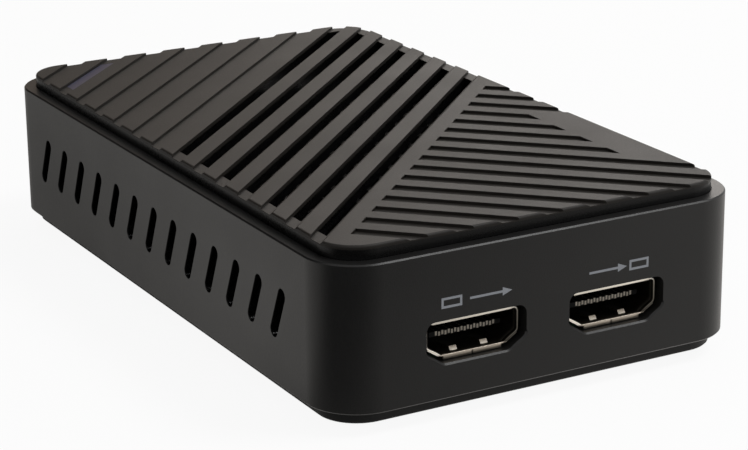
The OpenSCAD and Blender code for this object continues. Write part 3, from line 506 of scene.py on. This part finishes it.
def screw_tree():
    """Four screws at the corners of a rectangle, heads up, with their seats at its height."""
    tree = bpy.data.node_groups.new("screw_set", "GeometryNodeTree")
    tree.interface.new_socket("Screws", in_out="OUTPUT", socket_type="NodeSocketGeometry")
    for name, kind in SCREW_INPUTS:
        tree.interface.new_socket(name, in_out="INPUT", socket_type=kind)
    entry = tree.nodes.new("NodeGroupInput")
    size = {name: Wire(tree, entry.outputs[name]) for name, kind in SCREW_INPUTS}
    add = size["Head Diameter"].node

    def vector(x, y, z):
        return add("ShaderNodeCombineXYZ", {}, {0: x, 1: y, 2: z})

    x, y, z = add("GeometryNodeInputPosition", {}, {}).parts()
    head_h = size["Head Height"]
    head = add("GeometryNodeMeshCylinder", {"fill_type": "NGON"}, {
        "Vertices": HEAD_SIDES, "Side Segments": HEAD_RINGS,
        "Radius": 0.5 * size["Head Diameter"], "Depth": head_h})
    rise = z / head_h + 0.5
    crown = 1 - CROWN_DRAW * rise * rise * rise
    head = add("GeometryNodeSetPosition", {}, {
        "Geometry": head, "Position": vector(x * crown, y * crown, z + 0.5 * head_h)})
    bars = []
    for length, width in (("Recess Length", "Recess Width"), ("Recess Width", "Recess Length")):
        bar = add("GeometryNodeMeshCube", {}, {
            "Size": vector(size[length], size[width], 2 * size["Recess Depth"])})
        bars.append(add("GeometryNodeTransform", {}, {
            "Geometry": bar, "Translation": vector(0.0, 0.0, head_h)}))
    head = add("GeometryNodeMeshBoolean", {"operation": "DIFFERENCE", "solver": "EXACT"}, {
        "Mesh 1": head, "Mesh 2": bars})
    length, pitch = size["Thread Length"], size["Thread Pitch"]
    shaft = add("GeometryNodeMeshCylinder", {"fill_type": "NGON"}, {
        "Vertices": THREAD_SIDES, "Side Segments": RINGS_PER_TURN * length / pitch,
        "Radius": 0.5 * size["Thread Diameter"], "Depth": length})
    turn = z / pitch + y.math("ARCTAN2", y, x) / (2 * math.pi)
    root = 1 - abs(turn.fraction() - 0.5) * 2
    narrow = 1 - THREAD_CUT * root
    shaft = add("GeometryNodeSetPosition", {}, {
        "Geometry": shaft, "Position": vector(x * narrow, y * narrow, z - 0.5 * length)})
    screw = add("GeometryNodeJoinGeometry", {}, {0: [head, shaft]})
    crease = add("GeometryNodeInputMeshEdgeAngle", {}, {})
    screw = add("GeometryNodeSetShadeSmooth", {"domain": "FACE"}, {
        "Geometry": screw, "Shade Smooth": True})
    screw = add("GeometryNodeSetShadeSmooth", {"domain": "EDGE"}, {
        "Geometry": screw, "Shade Smooth": crease.below(SCREW_CREASE)})
    screw = add("GeometryNodeTransform", {}, {
        "Geometry": screw, "Rotation": vector(math.pi * size["Upside Down"], 0.0, 0.0)})
    corners = add("GeometryNodeMeshGrid", {}, {
        "Size X": size["Span X"], "Size Y": size["Span Y"], "Vertices X": 2, "Vertices Y": 2})
    corners = add("GeometryNodeTransform", {}, {"Geometry": corners, "Translation": size["Middle"]})
    screws = add("GeometryNodeInstanceOnPoints", {}, {"Points": corners, "Instance": screw})
    screws = add("GeometryNodeRealizeInstances", {}, {"Geometry": screws})
    screws = add("GeometryNodeSetMaterial", {}, {"Geometry": screws, "Material": size["Finish"]})
    screws.feed(tree.nodes.new("NodeGroupOutput"), "Screws")
    return tree


def screw_set(name, node, head_d, head_h, thread_d, seat_z, upside_down, material):
    """Makes the four screws of a CAD node, at the node's own corners and lengths."""
    low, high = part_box(node)
    values = {
        "Head Diameter": head_d, "Head Height": head_h, "Thread Diameter": thread_d,
        "Thread Length": high.z - seat_z if upside_down else seat_z - low.z,
        "Thread Pitch": PITCH_SHARE * thread_d, "Recess Length": RECESS_L_SHARE * head_d,
        "Recess Width": RECESS_W_SHARE * head_d, "Recess Depth": RECESS_DEPTH_SHARE * head_h,
        "Span X": high.x - low.x - head_d, "Span Y": high.y - low.y - head_d,
        "Middle": ((low.x + high.x) / 2, (low.y + high.y) / 2, seat_z),
        "Upside Down": float(upside_down), "Finish": material}
    piece = bpy.data.objects.new(name, bpy.data.meshes.new(name))
    bpy.context.scene.collection.objects.link(piece)
    maker = piece.modifiers.new("screws", "NODES")
    maker.node_group = screw_maker
    for socket in screw_maker.interface.items_tree:
        if socket.in_out == "INPUT":
            maker[socket.identifier] = values[socket.name]
    made = piece.evaluated_get(bpy.context.evaluated_depsgraph_get())
    mesh = bpy.data.meshes.new_from_object(made)
    piece.modifiers.clear()
    piece.data = mesh
    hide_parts(node)
    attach(piece, "root")


ZINC_SPOT, ZINC_SPOT_DEPTH = 0.35 * MM, 0.005 * MM
ZINC_DARK, ZINC_LIGHT = grey(0.32), grey(0.56, 0.02)
steel, steel_shader, steel_place = finish("plated_steel", {"Metallic": 1.0})
steel_wear = noise(steel_place, ZINC_SPOT, 4.0)
steel_wear.blend(ZINC_DARK, ZINC_LIGHT).feed(steel_shader, "Base Color")
(0.24 + 0.26 * steel_wear).feed(steel_shader, "Roughness")
bump(steel_wear, ZINC_SPOT_DEPTH).feed(steel_shader, "Normal")
screw_maker = screw_tree()
screw_set(
    "board_screw_set", "board_screws", SMALL_HEAD_D, SMALL_HEAD_H, SMALL_THREAD_D,
    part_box("main_board")[1].z, False, steel)

# Heat sink spacers: four sleeves turned from brass rod, with fine tool rings round them.
# They stand soldered on the board and carry the heat sink.
TOOL_RING, TOOL_RING_DEPTH = 0.4 * MM, 0.006 * MM
BRASS_DARK, BRASS_LIGHT = (0.52, 0.38, 0.14, 1), (0.8, 0.62, 0.3, 1)
brass, brass_shader, brass_place = finish("turned_brass", {"Metallic": 1.0})
brass_rings = noise(brass_place.stretched(0.15, 0.15, 8), TOOL_RING, 3.0)
brass_rings.blend(BRASS_DARK, BRASS_LIGHT).feed(brass_shader, "Base Color")
(0.24 + 0.2 * brass_rings).feed(brass_shader, "Roughness")
bump(brass_rings, TOOL_RING_DEPTH).feed(brass_shader, "Normal")
dress(brass, "heat_sink_spacers")

# Thermal pads: squares of soft grey silicone filled with ceramic powder, cut from sheet.
# They lie between the hot chips and the heat sink, which presses on them.
FILLER, FILLER_DEPTH = 0.15 * MM, 0.02 * MM
SILICONE_DARK, SILICONE_LIGHT = (0.3, 0.33, 0.37, 1), (0.5, 0.53, 0.57, 1)
silicone, silicone_shader, silicone_place = finish("pad_silicone", {"Specular IOR Level": 0.35})
silicone_speck = noise(silicone_place, FILLER, 4.0)
silicone_speck.blend(SILICONE_DARK, SILICONE_LIGHT).feed(silicone_shader, "Base Color")
(0.7 + 0.2 * silicone_speck).feed(silicone_shader, "Roughness")
bump(silicone_speck, FILLER_DEPTH).feed(silicone_shader, "Normal")
dress(silicone, "thermal_pads")

# Heat sink: an aluminium extrusion with eleven fins, black anodised, with drawing lines along the fins.
# It stands on the spacers under four screws and presses on the pads.
FIN_LINE, FIN_LINE_DEPTH, FIN_CLOUD = 0.16 * MM, 0.008 * MM, 6 * MM
ANODISED_DARK, ANODISED_LIGHT = grey(0.004), grey(0.012)
anodised, anodised_shader, anodised_place = finish(
    "black_anodised", {"Metallic": 0.6, "Specular IOR Level": 0.4})
anodised_lines = noise(anodised_place.stretched(1, 0.02, 1), FIN_LINE, 4.0)
anodised_tone = 0.6 * anodised_lines + 0.4 * noise(anodised_place, FIN_CLOUD)
anodised_tone.blend(ANODISED_DARK, ANODISED_LIGHT).feed(anodised_shader, "Base Color")
(0.5 + 0.22 * anodised_lines).feed(anodised_shader, "Roughness")
bump(anodised_lines, FIN_LINE_DEPTH).feed(anodised_shader, "Normal")
dress(anodised, "heat_sink")
screw_set(
    "heat_sink_screw_set", "heat_sink_screws", SMALL_HEAD_D, SMALL_HEAD_H, SMALL_THREAD_D,
    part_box("heat_sink_screws")[1].z - SMALL_HEAD_H, False, steel)

# Side band: one moulded ring that forms the four walls, with leaning vents and the socket cut-outs.
# Black satin plastic with a fine grain; its bosses take the case screws.
LEDGE_LOW = 23.7 * MM
VENT_DEPTH, VENT_REACH = 0.2 * MM, 48 * MM
CUT_OUT_LOW, CUT_OUT_CHAMFER = 10.5 * MM, 0.24 * MM
band_half_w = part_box("side_band")[1].x


# The band's inner faces, the vents' walls among them, are painted near black as shade, and polished.
def vent_walls(x, y, z):
    return abs(x).below(band_half_w - VENT_DEPTH) * abs(y).below(VENT_REACH) * z.below(LEDGE_LOW)


def below_sockets(at):
    """Whether an edge lies in an end face, on the lower side of a socket cut-out."""
    return abs(at.y) > cad_bounds[1].y - NEAR and at.z < CUT_OUT_LOW


band_plastic = moulded_plastic(
    "band_plastic", dark=grey(0.004, 0.02), light=grey(0.01, 0.03), roughness=0.36, level=0.25,
    shaded_inner_faces=vent_walls)
band_shape = merged_copy("side_band")
ease(band_shape, sharp_edges(band_shape, below_sockets), CUT_OUT_CHAMFER, 1)
stand_in("side_band_shell", "side_band", band_shape, band_plastic)

# Socket marks: signs over the video sockets, a screen with an arrow out of it or into it.
# They are printed on the front end with a soft pad, in one thin coat of pale grey ink.
INK_T, INK_SPOT = 0.012 * MM, 0.12 * MM
INK_DARK, INK_LIGHT = (0.17, 0.18, 0.2, 1), (0.27, 0.28, 0.3, 1)
MARK_LOW, MARK_HIGH, MARK_STROKE = 16.0 * MM, 17.5 * MM, 0.34 * MM
SCREEN_W = 3.2 * MM
ARROW_HEAD_L, ARROW_HEAD_SHARE = 1.5 * MM, 0.8


def socket_mark(name, screen_left, arrow_left, arrow_l):
    """A flat print on the front face: the outline of a screen, and an arrow that points to the right."""
    face_y = cad_bounds[0].y
    middle = (MARK_LOW + MARK_HIGH) / 2
    half = (MARK_HIGH - MARK_LOW) / 2
    print_shape = bmesh.new()

    def patch(outline):
        face = print_shape.faces.new(
            [print_shape.verts.new((x, face_y + INK_T / 2, middle + z)) for x, z in outline])
        side = bmesh.ops.extrude_face_region(print_shape, geom=[face])["geom"]
        bmesh.ops.translate(
            print_shape, vec=(0, -INK_T, 0), verts=[v for v in side if isinstance(v, bmesh.types.BMVert)])

    def bar(x0, z0, x1, z1):
        patch([(x0, z0), (x1, z0), (x1, z1), (x0, z1)])

    screen_right = screen_left + SCREEN_W
    bar(screen_left, half - MARK_STROKE, screen_right, half)
    bar(screen_left, -half, screen_right, MARK_STROKE - half)
    bar(screen_left, MARK_STROKE - half, screen_left + MARK_STROKE, half - MARK_STROKE)
    bar(screen_right - MARK_STROKE, MARK_STROKE - half, screen_right, half - MARK_STROKE)
    tip = arrow_left + arrow_l
    neck = tip - ARROW_HEAD_L
    bar(arrow_left, -MARK_STROKE / 2, neck, MARK_STROKE / 2)
    patch([(neck, -ARROW_HEAD_SHARE * half), (tip, 0), (neck, ARROW_HEAD_SHARE * half)])
    bmesh.ops.recalc_face_normals(print_shape, faces=print_shape.faces)
    mesh = bpy.data.meshes.new(name)
    print_shape.to_mesh(mesh)
    print_shape.free()
    mesh.materials.append(ink)
    piece = bpy.data.objects.new(name, mesh)
    bpy.context.scene.collection.objects.link(piece)
    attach(piece, "root")


ink, ink_shader, ink_place = finish("grey_ink", {"Specular IOR Level": 0.3})
ink_cover = noise(ink_place, INK_SPOT, 3.0)
ink_cover.blend(INK_DARK, INK_LIGHT).feed(ink_shader, "Base Color")
(0.5 + 0.2 * ink_cover).feed(ink_shader, "Roughness")
socket_mark("video_out_mark", screen_left=-16.8 * MM, arrow_left=-12.4 * MM, arrow_l=6.6 * MM)
socket_mark("video_in_mark", screen_left=13.2 * MM, arrow_left=6.6 * MM, arrow_l=6.2 * MM)

# Case screws: four longer screws of the same zinc-plated steel, seen only from below.
# They go up through the base into the band's bosses and hold the two together.
CASE_HEAD_D, CASE_HEAD_H, CASE_THREAD_D = 4.4 * MM, 1.3 * MM, 2.2 * MM
screw_set(
    "case_screw_set", "case_screws", CASE_HEAD_D, CASE_HEAD_H, CASE_THREAD_D,
    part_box("case_screws")[0].z + CASE_HEAD_H, True, steel)

# Light guide: a bar of milky violet-grey plastic that fills one groove of the cover.
# Its flange lies under the cover, and its leg goes down to the light on the board.
MILKY_CLOUD = 1.5 * MM
MILKY_DARK, MILKY_LIGHT = (0.012, 0.012, 0.03, 1), (0.03, 0.028, 0.06, 1)
milky, milky_shader, milky_place = finish("light_plastic", {"Specular IOR Level": 0.3})
milky_cloud = noise(milky_place, MILKY_CLOUD, 3.0)
milky_cloud.blend(MILKY_DARK, MILKY_LIGHT).feed(milky_shader, "Base Color")
(0.36 + 0.12 * milky_cloud).feed(milky_shader, "Roughness")
dress(milky, "light_guide")

# Top cover: a moulded plate with two crossed fields of slanted ribs, through slots in one of them, and a
# rounded edge. Warm black satin plastic; eight hooks under it snap into the band.
# Groove walls and slots below this height are painted near black as shade, and polished.
RIB_WALL_Z = 25.4 * MM
cover_plastic = moulded_plastic(
    "cover_plastic", dark=grey(0.005, 0.2), light=grey(0.012, 0.2), roughness=0.51, level=0.19,
    shaded_inner_faces=lambda x, y, z: z.below(RIB_WALL_Z))
dress(cover_plastic, "top_cover")

# Light, floor and camera: a plain white table under soft studio light, seen from the photograph's place.
# The background is white to the eye and keeps the object's shadow. Reflections show it dimmer beside and
# before the case, with two cards behind it, which gives the plastic the photograph's greys.
WHITE, BLACK = (1, 1, 1, 1), (0, 0, 0, 1)
FLOOR_HALF, FLOOR_GAP = 4.0, 0.02 * MM
PAPER_LIT, PAPER_MIRRORED, SHADOW_SHARE = (0.85, 0.85, 0.85, 1), (1, 0.97, 0.93, 1), 0.08
SKY_LIGHT = 0.5
floor_mesh = bpy.data.meshes.new("floor")
floor_mesh.from_pydata(
    [(x * FLOOR_HALF, y * FLOOR_HALF, -FLOOR_GAP) for x, y in ((-1, -1), (1, -1), (1, 1), (-1, 1))],
    [], [(0, 1, 2, 3)])
floor = bpy.data.objects.new("floor", floor_mesh)
bpy.context.scene.collection.objects.link(floor)


def ray(tree, kind):
    """One for rays of a kind, and nought for all others."""
    return Wire(tree, tree.nodes.new("ShaderNodeLightPath").outputs[kind])


def seen_white(tree):
    """One for rays from the eye, from gloss and through glass, and nought for the light itself."""
    seen = ray(tree, "Is Camera Ray") + ray(tree, "Is Glossy Ray") + ray(tree, "Is Transmission Ray")
    return seen.clamped()


def plain_sheet(name):
    """A material with no shader yet, and its tree."""
    sheet = bpy.data.materials.new(name)
    sheet.use_nodes = True
    sheet.node_tree.nodes.remove(sheet.node_tree.nodes["Principled BSDF"])
    return sheet, sheet.node_tree


# How bright the paper is in reflections, by its place in metres: painted light that falls off to the left,
# and painted shade near the case. Beside the case it grows away from the middle line and to the front.
# Before the case it grows to the right and the back, from a dark left corner.
SIDE_OUTWARD, SIDE_FORWARD, SIDE_LEAST = 17, 5.5, 0.42
CORNER_START, CORNER_RIGHT = 1.55, 28
FRONT_START, FRONT_RIGHT, FRONT_BACK, FRONT_LEAST = 1.23, 7.8, 6.3, 0.05
BESIDE_START, BESIDE_BACK = 2.45, 44
paper, paper_tree = plain_sheet("white_paper")
paper_x, paper_y, _ = Wire(paper_tree, paper_tree.nodes.new("ShaderNodeTexCoord").outputs["Object"]).parts()
paper_side = (SIDE_OUTWARD * abs(paper_x) - SIDE_FORWARD * paper_y).clamped(SIDE_LEAST)
paper_corner = (CORNER_START + CORNER_RIGHT * paper_x).clamped()
paper_rise = FRONT_START + FRONT_RIGHT * paper_x + FRONT_BACK * paper_y
paper_front = (paper_rise * paper_corner).clamped(FRONT_LEAST)
paper_beside = (BESIDE_START + BESIDE_BACK * paper_y).clamped()
paper_fall = paper_front + paper_beside * (paper_side - paper_front)
paper_colour = ray(paper_tree, "Is Glossy Ray").blend(WHITE, paper_fall.blend(BLACK, PAPER_MIRRORED))
paper_seen = seen_white(paper_tree)
paper_white = paper_seen.node("ShaderNodeEmission", {}, {"Color": paper_colour, "Strength": 1.0})
paper_lit = paper_seen.node("ShaderNodeBsdfDiffuse", {}, {"Color": PAPER_LIT})
paper_mix = paper_seen.node(
    "ShaderNodeMixShader", {}, {0: (1 - SHADOW_SHARE) * paper_seen, 1: paper_lit, 2: paper_white})
paper_mix.feed(paper_tree.nodes["Material Output"], "Surface")
floor_mesh.materials.append(paper)

world = bpy.data.worlds.new("studio")
world.use_nodes = True
bpy.context.scene.world = world
sky = world.node_tree.nodes["Background"]
sky.inputs["Color"].default_value = WHITE
(SKY_LIGHT + (1 - SKY_LIGHT) * seen_white(world.node_tree)).feed(sky, "Strength")

CARD_AWAY = 0.8
CARD_BROWN, CARD_BLACK = (0.345, 0.284, 0.236, 1), (0.005, 0.005, 0.005, 1)


def card(name, left, right, low, high, colour):
    """An upright card behind the object, between two directions and heights, which the camera doesn't see."""
    mesh = bpy.data.meshes.new(name)
    left_x, left_y, right_x, right_y = (
        CARD_AWAY * part(math.radians(turn)) for turn in (left, right) for part in (math.sin, math.cos))
    mesh.from_pydata(
        [(left_x, left_y, low), (right_x, right_y, low), (right_x, right_y, high), (left_x, left_y, high)],
        [], [(0, 1, 2, 3)])
    board = bpy.data.objects.new(name, mesh)
    bpy.context.scene.collection.objects.link(board)
    paint, tree = plain_sheet(name)
    eye = ray(tree, "Is Camera Ray")
    shown = eye.node("ShaderNodeEmission", {}, {"Color": colour, "Strength": 1.0})
    clear = eye.node("ShaderNodeBsdfTransparent", {}, {})
    hidden = eye.node("ShaderNodeMixShader", {}, {0: eye, 1: shown, 2: clear})
    hidden.feed(tree.nodes["Material Output"], "Surface")
    mesh.materials.append(paint)


card("warm_card", left=-8, right=30, low=0.0, high=0.56, colour=CARD_BROWN)
card("black_card", left=-70, right=-8, low=0.07, high=1.1, colour=CARD_BLACK)


def soft_lamp(name, at, width, height, watts, colour=(1, 1, 1)):
    """A rectangular lamp that faces the object."""
    light = bpy.data.lights.new(name, "AREA")
    light.color = colour
    light.shape = "RECTANGLE"
    light.size = width
    light.size_y = height
    light.energy = watts
    lamp = bpy.data.objects.new(name, light)
    lamp.location = at
    lamp.rotation_euler = (-Vector(at)).to_track_quat("-Z", "Y").to_euler()
    bpy.context.scene.collection.objects.link(lamp)


soft_lamp("top_light", at=(0.41, -0.28, 0.75), width=0.3, height=0.3, watts=3.7)
soft_lamp("back_light", at=(0.45, 0.49, 0.24), width=0.38, height=0.25, watts=0.58, colour=(1, 0.91, 0.83))
soft_lamp("front_light", at=(0.28, -0.27, 0.04), width=0.15, height=0.08, watts=0.09)

CAMERA_AT = (-170.213 * MM, -314.296 * MM, 126.708 * MM)
CAMERA_TURN, CAMERA_HEIGHT, CAMERA_ROLL = (math.radians(a) for a in (-28.80, 18.204, -0.695))
view = bpy.data.cameras.new("camera")
view.sensor_width = 36.0
view.lens = 116.79
view.shift_x = 0.01417
view.shift_y = -0.00232
camera = bpy.data.objects.new("camera", view)
camera.matrix_world = (
    Matrix.Translation(CAMERA_AT)
    @ Matrix.Rotation(CAMERA_TURN, 4, "Z")
    @ Matrix.Rotation(math.pi / 2 - CAMERA_HEIGHT, 4, "X")
    @ Matrix.Rotation(CAMERA_ROLL, 4, "Z"))
bpy.context.scene.collection.objects.link(camera)
bpy.context.scene.camera = camera
bpy.context.scene.view_settings.view_transform = "Standard"
